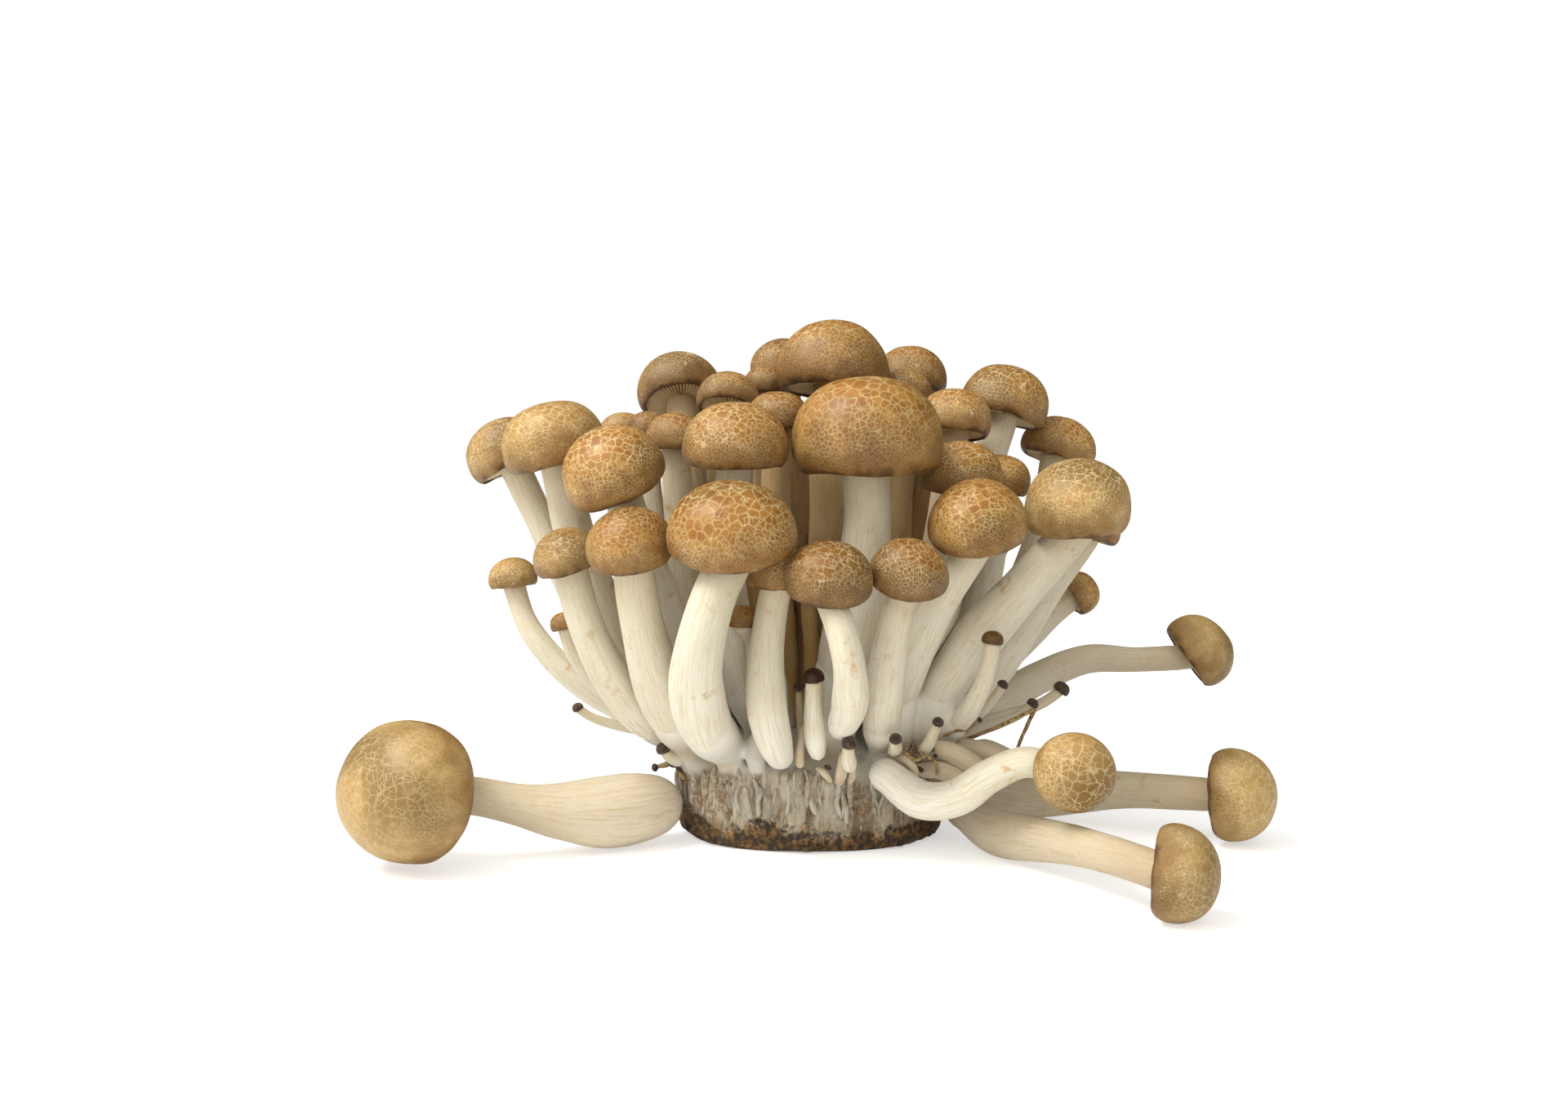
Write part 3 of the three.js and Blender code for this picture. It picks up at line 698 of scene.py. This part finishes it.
def stem_line(m):
    """The stem's centre line and radius, from inside the cap to the foot, at even steps."""
    head = m.neck + m.axis * 0.16 * m.radius
    share = np.linspace(1, 0, len(m.centres))
    outward = unit(m.middle * (1, 1, 0))
    centres = m.centres + outward * (m.bow * np.sin(np.pi * share**0.6))[:, None]
    foot = centres[-1] + unit(centres[-1] - centres[-2]) * m.radii[-1] * 0.25
    line = np.vstack([head, centres, foot])
    radii = np.r_[m.radii[0] * 0.98, m.radii, m.radii[-1] * 0.9]
    dense = through(np.column_stack([line, radii]), 240)
    along = np.r_[0, np.cumsum(np.linalg.norm(np.diff(dense[:, :3], axis=0), axis=1))]
    count = int(np.clip(along[-1] / STEM_STEP, 14, 110))
    places = np.linspace(0, along[-1], count)
    even = np.stack([np.interp(places, along, dense[:, i]) for i in range(4)], 1)
    return even[:, :3], even[:, 3], places


def turned_frames(line, side):
    """Two side directions at each point of a line, carried along it without twist."""
    down = np.gradient(line, axis=0)
    down /= np.linalg.norm(down, axis=1)[:, None]
    sides = []
    for direction in down:
        side = unit(side - direction * (side @ direction))
        sides.append(side)
    sides = np.array(sides)
    return sides, np.cross(-down, sides)


def spokes(line, side, around):
    """The angles round a tube, and the directions they point in at each point of its line."""
    sides, fronts = turned_frames(line, side)
    angle = np.linspace(0, 2 * np.pi, around, endpoint=False)
    outward = np.cos(angle)[None, :, None] * sides[:, None] + np.sin(angle)[None, :, None] * fronts[:, None]
    return angle, outward


def unbent(angle, radius, along):
    """The points of a tube, as they would be if its line were straight."""
    return np.stack(np.broadcast_arrays(
        np.cos(angle) * radius, np.sin(angle) * radius, along[:, None]), -1)


def room(points, others):
    """How far each point is outside the nearest of the other stems."""
    nearest = np.full(len(points), 1e9)
    for line, thick in others:
        gap = np.linalg.norm(points[:, None] - line[None], axis=2) - thick[None]
        nearest = np.minimum(nearest, gap.min(1))
    return nearest


def stem_shape(m, others):
    """A tube along the stem: swollen where it has room, flattened where it meets a neighbour."""
    line, along = m.line, m.along
    grade = 1 - along / along[-1]
    angle, outward = spokes(line, m.side, STEM_AROUND)
    seeded = unbent(angle, m.radii.mean(), along) + m.key * 31.7
    lumps = 0.05 * noise(seeded, 9.0, m.key) + 0.03 * noise(seeded * (1, 1, 0.35), 3.0, m.key)
    oval = 0.05 * np.cos(2 * angle[None] + m.key + 1.5 * noise(seeded * (0, 0, 1), 30.0, m.key))
    ridges = 0.012 * noise(seeded * (1, 1, 0.06), 0.8, m.key)
    rag = 0.05 * blend(0.9, 0.98, grade)[:, None] * noise(seeded, 1.2, m.key + 9)
    base = m.thick[:, None] * (1 + lumps + oval + ridges + rag)
    most = (PRESS_HIGH + (PRESS_LOW - PRESS_HIGH) * blend(0.8, 0.25, grade))[:, None] * m.press
    flat = outward.reshape(-1, 3)
    centres = np.repeat(line, STEM_AROUND, axis=0)

    def gap_at(size):
        return room(centres + flat * size.reshape(-1, 1), others).reshape(size.shape)

    gap = gap_at(base)
    high = SWELL + np.minimum(most, 0.6 * np.abs(gap)) * blend(PRESS_REACH[1], PRESS_REACH[0], gap)
    low = np.full(base.shape, -FLATTEN)
    for _ in range(PRESS_STEPS):
        middle = (low + high) / 2
        fits = gap_at(base + middle) > middle + CREVICE
        low = np.where(fits, middle, low)
        high = np.where(fits, high, middle)
    size = base + low
    reach = m.radii[-1]
    closing = np.clip(1 + (along - along[-1]) / reach, 0, 1)
    size = size * np.sqrt(np.clip(1 - 0.9 * closing**2, 0.02, 1))[:, None]
    points = (line[:, None] + outward * size[..., None]).reshape(-1, 3)
    points = above_floor(np.vstack([points, line[0], line[-1] + (line[-1] - line[-2]) * 0.3]))
    fibre = np.vstack([seeded.reshape(-1, 3), seeded[0, 0], seeded[-1, 0]])
    share = np.r_[np.repeat(grade, STEM_AROUND), 1, 0]
    values = {"fibre": fibre, "grade": share}
    values.update({key: np.full(len(points), getattr(m, key)) for key in ("stained", "warm")})
    return points, capped(len(line), STEM_AROUND), values


# ---- Growing every mushroom ----------------------------------------

# Where a mushroom differs from its kind: how dark and how faded its cap is, how strongly its web shows
# (plain), how large its islands are (cell), how deep its edge is, and how tanned and how darkened by
# painted shade its stem is.
OWN_LOOK = {
    "front_mushroom_1": {"deep": 0.55},
    "front_mushroom_10": {"dark": 0.0, "plain": 1.0, "warm": 0.1, "faded": 0.4},
    "front_mushroom_2": {"dark": 0.4, "plain": 1.0},
    "front_mushroom_3": {"dark": 0.32, "plain": 1.0},
    "front_mushroom_4": {"dark": 0.1, "plain": 0.7},
    "front_mushroom_6": {"dark": 0.12, "plain": 1.0},
    "leaning_mushroom_1": {"plain": 0.5, "warm": 0.42},
    "leaning_mushroom_2": {"plain": 0.9, "cell": 1.2, "warm": 0.0, "faded": 0.45},
    "leaning_mushroom_3": {"plain": 0.8, "warm": 0.45},
    "leaning_mushroom_4": {"plain": 0.9, "warm": 0.4},
    "leaning_mushroom_5": {"plain": 0.5, "warm": 0.3},
    "small_mushroom_1": {"dark": 0.1, "plain": 0.5},
    "small_mushroom_2": {"dark": 0.25},
    "small_mushroom_4": {"dark": 1.0, "plain": 0.0},
}

FADED = {"leaning": 0.65, "left": 0.3}  # how far a cap's brown has faded to tan

mushrooms = [grown(node, key) for key, node in enumerate(sorted(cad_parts), 1) if node != "base_block"]
for m in mushrooms:
    m.kind = m.name.split("_")[0]
    m.press = 0.0 if m.kind in ("leaning", "pin") else 1.0
    m.square = m.random.uniform(0.0, 0.35)
    m.cell = m.random.uniform(0.8, 1.15) * np.interp(m.radius, [5, 10, 18], [0.75, 1.0, 1.35])
    m.dark = {"small": 0.6, "pin": 1.0}.get(m.kind, m.random.uniform(0.0, 0.16))
    # Painted shade: crown and back caps are darkened more, as they stand behind and under the front ones.
    m.dark += m.random.uniform(0.12, 0.3) * (m.kind in ("crown", "back"))
    wide = np.interp(m.radius, [9, 18], [1, 0.65])
    m.plain = {"small": 0.35, "pin": 0.0}.get(m.kind, m.random.uniform(0.8, 1.0) * wide)
    m.stained = m.random.uniform(0.3, 1.0)
    # Painted shade: a stem is darkened more the nearer it stands to the middle of the cluster, on top of a
    # small random tan; front stems get only the tan.
    inner_shade = blend(34, 20, np.hypot(*m.middle[:2]))
    m.warm = m.random.uniform(0.0, 0.12) + 0.8 * inner_shade * (m.kind != "front")
    m.deep = m.random.uniform(0.8, 1.1)
    m.oval = m.random.uniform(-0.05, 0.05)
    m.faded = FADED.get(m.kind, 0.0)
    m.bow = BOW * (m.kind in ("left", "right", "back"))
    m.__dict__.update(OWN_LOOK.get(m.name, {}))
    m.line, m.thick, m.along = stem_line(m)


def neighbours(m):
    """The centre lines and thicknesses of the other stems that come near this one."""
    found = []
    for other in mushrooms:
        apart = np.abs((other.line.min(0) + other.line.max(0)) / 2 - (m.line.min(0) + m.line.max(0)) / 2)
        halves = (np.ptp(other.line, axis=0) + np.ptp(m.line, axis=0)) / 2
        if other is not m and (apart < halves + 8 + m.thick.max()).all():
            found.append((other.line, other.thick))
    return found


for m in mushrooms:
    skin = "pin_cap" if m.kind == "pin" else "cap_skin"
    points, faces, values = cap_shape(m)
    make_piece(f"{m.name}_cap", points, faces, skin, values, [m.name])
    points, faces, values = stem_shape(m, neighbours(m))
    make_piece(f"{m.name}_stem", points, faces, "stem", values, [m.name])
    if m.kind != "pin":
        points, faces, values = gill_shape(m)
        make_piece(f"{m.name}_gills", points, faces, "gills", values, [m.name])


# ---- Root block ----------------------------------------------------

# Mushrooms whose rounded feet hang over the block's edge.
FREE_FEET = ("front_mushroom_2", "front_mushroom_5", "small_mushroom_4")

# Half of the block's outline from the bottom up: (share of its radius, height).
BLOCK_OUTLINE = [(0.93, 0.0), (0.975, 0.8), (1.0, 3.0), (1.0, 8.0), (1.0, 12.0), (1.0, 15.0), (0.97, 17.5),
                 (0.88, 19.5), (0.7, 22.0), (0.4, 24.5), (0.05, 25.5)]  # fmt: skip


def squared(ring):
    """A ring of directions, with each as long as the squarish plan of the block is there."""
    return ring / (np.abs(ring) ** BLOCK_SQUARE).sum(1, keepdims=True) ** (1 / BLOCK_SQUARE)


def block_core():
    """The block's side and domed top, as rows of points from the top down."""
    around, rows = 180, 90
    profile = through([(r * BLOCK_RADIUS, z) for r, z in BLOCK_OUTLINE], rows)[::-1]
    angle = np.linspace(0, 2 * np.pi, around, endpoint=False)
    ring = squared(np.stack([np.cos(angle), np.sin(angle)], 1))
    heights = np.broadcast_to(profile[:, None, 1:], (rows, around, 1))
    points = np.concatenate([profile[:, None, :1] * ring[None], heights], -1).reshape(-1, 3)
    points = np.vstack([points, [0, 0, profile[0, 1] + 0.2], [0, 0, 0]])
    return points, capped(rows, around)


def foot_tube(m):
    """The lowest part of a stem, which widens at the foot and runs down into the block."""
    share = 1 - m.along / m.along[-1]
    keep = share < FOOT_SHARE
    line = m.line[keep]
    size = m.thick[keep] + np.interp(share[keep], [0, 0.15, 0.3, FOOT_SHARE], [1.0, 0.8, -0.9, -1.3])
    foot = line[-1]
    reach = np.hypot(*foot[:2])
    root = np.array([*foot[:2] * min(1, (BLOCK_RADIUS - 1.5) / reach), foot[2] - 9])
    line = np.vstack([line, foot * 0.5 + root * 0.5, root])
    size = np.r_[size, size[-1] * 0.75, 1.2]
    outward = spokes(line, m.side, FOOT_AROUND)[1]
    tube = (line[:, None] + outward * size[:, None, None]).reshape(-1, 3)
    return np.vstack([tube, line[0], line[-1]]), capped(len(line), FOOT_AROUND)


def fused_skin(points, faces):
    """The points, normals and faces of one smooth skin round shapes that run into each other."""
    mesh = bpy.data.meshes.new("block_source")
    mesh.from_pydata((points * MM).tolist(), [], faces)
    source = bpy.data.objects.new("block_source", mesh)
    bpy.context.scene.collection.objects.link(source)
    remesh = source.modifiers.new("fuse", "REMESH")
    remesh.mode = "VOXEL"
    remesh.voxel_size = BLOCK_VOXEL * MM
    smooth = source.modifiers.new("fillet", "SMOOTH")
    smooth.factor = 0.5
    smooth.iterations = 12
    fused = source.evaluated_get(bpy.context.evaluated_depsgraph_get()).to_mesh()
    count = len(fused.vertices)
    places = np.empty(count * 3)
    normals = np.empty(count * 3)
    fused.vertices.foreach_get("co", places)
    fused.vertices.foreach_get("normal", normals)
    faces = [list(face.vertices) for face in fused.polygons]
    bpy.data.objects.remove(source)
    return places.reshape(-1, 3) / MM, normals.reshape(-1, 3), faces


def make_block():
    """The block and the fused feet as one smooth mass, roughened into strands and crust."""
    rooted = [m for m in mushrooms if m.kind not in ("pin", "leaning") and m.name not in FREE_FEET]
    points, normals, faces = fused_skin(*together([block_core(), *map(foot_tube, rooted)]))
    upright = points * (1, 1, 0.12)
    side = blend(21, 15, points[:, 2]) * blend(0.2, 1.0, points[:, 2])
    strands = 0.8 * noise(upright + 90, 4.2, 3) + 0.25 * noise(upright + 90, 1.8, 4)
    lumps = 0.9 * noise(points + 90, 9.0, 5) + 0.4 * noise(points + 90, 3.0, 6)
    crumbs = 0.35 * noise(points + 90, 1.0, 7) * blend(5.5, 3.0, points[:, 2])
    points = above_floor(points + normals * ((strands + lumps + crumbs) * side)[:, None])
    white = blend(15.5, 18.5, points[:, 2] + 2.5 * noise(points + 90, 5.0, 8))
    make_piece("base_block_mass", points, faces, "root_block", {"flesh": white}, ["base_block"])


make_block()

# ---- Small growth --------------------------------------------------

# Pins too small for the CAD: the middle of the dark cap, its radius, and the foot.
TINY_PINS = [
    ((34.8, -20, 27.7), 0.55, (32, -16, 24)), ((36.3, -20, 26.8), 0.5, (33, -15, 23)),
    ((25.3, -27.5, 22), 0.5, (24, -24, 20)), ((25.9, -28.5, 20.6), 0.4, (24, -25, 19)),
    ((-2.6, -29, 35), 0.95, (-2, -26, 24)), ((-0.9, -29, 35.6), 0.8, (0, -25, 24)),
    ((-38.7, -17, 32), 0.6, (-33, -13, 27)), ((-34, -12, 15), 0.75, (-29, -10, 16)),
    ((-0.4, -31, 28.7), 0.4, (0, -28, 24)),
]  # fmt: skip

# Pale stubs by the front of the block: points along each, and its thickest radius.
FRONT_STUBS = [
    ([(-2.2, -30, 18.5), (-2.4, -31.5, 22), (-1.4, -31.5, 28)], 1.1),
    ([(5.8, -28.5, 15), (6.2, -31.5, 17.5), (6.8, -32.5, 22.5)], 1.3),
    ([(8, -28.5, 15), (8.6, -31, 17.5), (8.2, -32, 21)], 0.9),
    ([(1.2, -29, 18.3), (2.6, -31, 17.6), (4.3, -30.3, 15.4)], 0.8),
    ([(24, -23, 20), (29, -27, 21), (34, -29, 18.5), (37, -28, 15.5)], 2.6),
    ([(28, -18, 20), (34, -21, 21), (40, -24, 19.5), (43, -24, 17.5)], 2.2),
    ([(22, -25, 17), (27, -29, 17.5), (32, -31, 15), (33, -30, 12.5)], 2.0),
    ([(17, -28, 20), (20, -31, 20), (22, -32, 17)], 1.0),
    ([(31, -12, 19), (38, -15, 20), (44, -18, 18.5)], 1.9),
]  # fmt: skip

# Thin tan strands: points along each, and its radius.
STRANDS = [
    ([(50, -9, 27.6), (48.6, -10, 25), (46.8, -11, 21.5), (44.7, -12, 17.5), (41, -11, 15.5)], 0.55),
    ([(31, -12, 20), (38, -14, 23), (45, -13, 26), (50, -11, 28)], 0.5),
    ([(22, -29, 21.5), (25.5, -31.5, 20), (26, -31, 17)], 0.45),
    ([(19, -30, 22), (21.5, -32.5, 20.5), (24, -31.5, 21.5)], 0.4),
    ([(-29, -15.5, 16), (-27.5, -17.5, 14), (-26.2, -17, 12.2)], 0.5),
    ([(-28, -16, 15.5), (-26.4, -18, 13), (-25, -18.5, 13.6)], 0.4),
    ([(28, -24, 24), (31, -26, 25.5), (33.5, -25, 25)], 0.35),
]  # fmt: skip

# Dark crumbs of growing medium: the middle of each, and half of its length.
CHIPS = [
    ((-29.6, -15.5, 16.6), 1.5), ((-27.9, -16.5, 15.6), 1.2),
    ((22.5, -29.5, 18), 0.9), ((3.5, -30, 18.5), 0.7),
]  # fmt: skip


def bent_tube(path, thick, seed, around=12, taper=(0.75, 1.0, 0.7)):
    """A rounded, slightly lumpy tube along a path: its points and faces, and its fibre and grade values."""
    path = np.asarray(path, float)
    length = np.linalg.norm(np.diff(path, axis=0), axis=1).sum()
    rows = max(12, int(length / 0.5))
    line = through(path, rows)
    share = np.linspace(0, 1, rows)
    to_end = np.clip(np.minimum(share, 1 - share) * length / thick, 0, 1)
    rounding = np.sqrt(np.clip(1 - (1 - to_end) ** 2, 0.04, 1))
    size = thick * np.interp(share, [0, 0.5, 1], taper) * rounding
    angle, outward = spokes(line, unit(np.array([0.3, 0.4, 0.86])), around)
    lumpy = 1 + 0.14 * noise(line[:, None] + outward * thick + 200, 1.5 * thick, seed)
    points = (line[:, None] + outward * (size[:, None] * lumpy)[..., None]).reshape(-1, 3)
    points = np.vstack([points, line[0], line[-1]])
    straight = unbent(angle, thick, share * length).reshape(-1, 3)
    fibre = np.vstack([straight, straight[0], straight[-1]]) + seed * 17.3
    return above_floor(points), capped(rows, around), fibre, np.r_[np.repeat(share, around), 0, 1]


def joined_tubes(name, tubes, slot, **values):
    """Several tubes as one piece, with the values that its material reads."""
    points, faces = together([(tube_points, corners) for tube_points, corners, _, _ in tubes])
    layers = {
        "fibre": np.vstack([fibre for _, _, fibre, _ in tubes]),
        "grade": np.concatenate([grade * 0.5 for _, _, _, grade in tubes]),
    }
    layers.update({key: np.full(len(points), value) for key, value in values.items()})
    make_piece(name, points, faces, slot, layers)


def base_ring():
    """Stubs that stopped growing, round the right, back and left of the crown."""
    random = np.random.default_rng(11)
    tubes = []
    for k in range(BASE_STUBS):
        angle = np.radians(random.uniform(-20, 200))
        out = np.array([np.cos(angle), np.sin(angle), 0])
        along = np.array([-out[1], out[0], 0])
        start = out * random.uniform(22, 26) + (0, 0, random.uniform(17, 21))
        length = random.uniform(5, 11)
        side = along * random.uniform(-2.5, 2.5)
        rise = np.array([0, 0, random.uniform(-1.5, 6)])
        path = [start, start + out * length * 0.5 + rise * 0.4 + side, start + out * length + rise]
        tubes.append(bent_tube(path, random.uniform(0.9, 2.2), 300 + k))
    return tubes


# Thin stems between the outer ones, as points along each.
DEEP_STEMS = [
    [(10, 10, 24), (22.5, 15, 50), (29, 18, 82)], [(14, 2, 24), (32, 3, 46), (45, 5, 66)],
    [(14, 6, 24), (28, 8, 50), (37, 12, 76)], [(-8, 10, 24), (-22, 16, 50), (-30, 20, 74)],
    [(-10, 2, 24), (-28, 4, 46), (-40, 6, 68)], [(2, 12, 24), (4, 26, 50), (6, 32, 74)],
]  # fmt: skip


def block_roots():
    """Thin upright roots that stand out a little from the block's side."""
    random = np.random.default_rng(23)
    tubes = []
    for k in range(BLOCK_ROOTS):
        angle = random.uniform(0, 2 * np.pi)
        low, high = random.uniform(6, 12.5), random.uniform(13.5, 18.5)
        heights = np.linspace(low, high, 4)
        turn = angle + np.cumsum(random.uniform(-0.03, 0.03, 4))
        ring = squared(np.stack([np.cos(turn), np.sin(turn)], 1)) * (BLOCK_RADIUS + 0.1)
        ring *= 1 + random.uniform(-0.012, 0.016, (4, 1))
        tubes.append(bent_tube(np.column_stack([ring, heights]), random.uniform(0.35, 0.8), 600 + k, 8))
    return tubes


def inner_stems():
    """Thin stems in the middle of the cluster, which never reached the light."""
    random = np.random.default_rng(5)
    tubes = []
    for k in range(INNER_STEMS):
        angle, reach = k * GOLDEN_ANGLE, 19 * np.sqrt((k + 0.5) / INNER_STEMS)
        foot = np.array([reach * np.cos(angle), reach * np.sin(angle) + 2, 23])
        spread = foot * (1.5, 1.5, 0) + random.uniform(-2, 2, 3)
        tip = spread + (0, 0, random.uniform(56, 68))
        middle = (foot + tip) / 2 - foot * (0.1, 0.1, 0) + random.uniform(-1.5, 1.5, 3)
        tubes.append(bent_tube([foot, middle, tip], random.uniform(2.0, 3.4), 400 + k, 14, (1.0, 0.9, 0.8)))
    tubes += [bent_tube(path, 3.3, 460 + k, 14, (1.0, 1.0, 0.9)) for k, path in enumerate(DEEP_STEMS)]
    return tubes


def tiny_pins():
    """The dark caps and the pale stems of the smallest pins."""
    caps, stems = [], []
    for k, (middle, size, foot) in enumerate(TINY_PINS):
        middle, foot = np.array(middle, float), np.array(foot, float)
        up = unit(middle - foot)
        path = [middle - up * size, middle, middle + up * size]
        caps.append(bent_tube(path, size * 1.25, 500 + k, 16, (1, 1, 1)))
        stems.append(bent_tube([foot, (foot + middle) / 2, middle], size * 0.9, 520 + k))
    return caps, stems


pin_caps, pin_stems = tiny_pins()
joined_tubes("tiny_pin_caps", pin_caps, "pin_cap")
# These small stems are tanned and darkened as painted shade, low in the cluster and inside it, the inner
# stems most.
joined_tubes("tiny_pin_stems", pin_stems, "stem", warm=0.7, stained=1.0)
front_stubs = [bent_tube(path, thick, 540 + k) for k, (path, thick) in enumerate(FRONT_STUBS)]
joined_tubes("front_stubs", front_stubs, "stem", warm=0.5, stained=1.0)
joined_tubes("base_stubs", base_ring(), "stem", warm=0.4, stained=1.0)
joined_tubes("block_roots", block_roots(), "root_block", flesh=0.3)
joined_tubes("inner_stems", inner_stems(), "stem", warm=1.0, stained=1.0)
strands = [bent_tube(path, thick, 560 + k, 10, (1, 0.8, 0.6)) for k, (path, thick) in enumerate(STRANDS)]
joined_tubes("strands", strands, "debris")
chips = [
    bent_tube([np.array(at) - (size, 0, -0.4), at, np.array(at) + (size, 0, -0.4)], size * 0.7, 580 + k)
    for k, (at, size) in enumerate(CHIPS)
]
joined_tubes("chips", chips, "pin_cap")
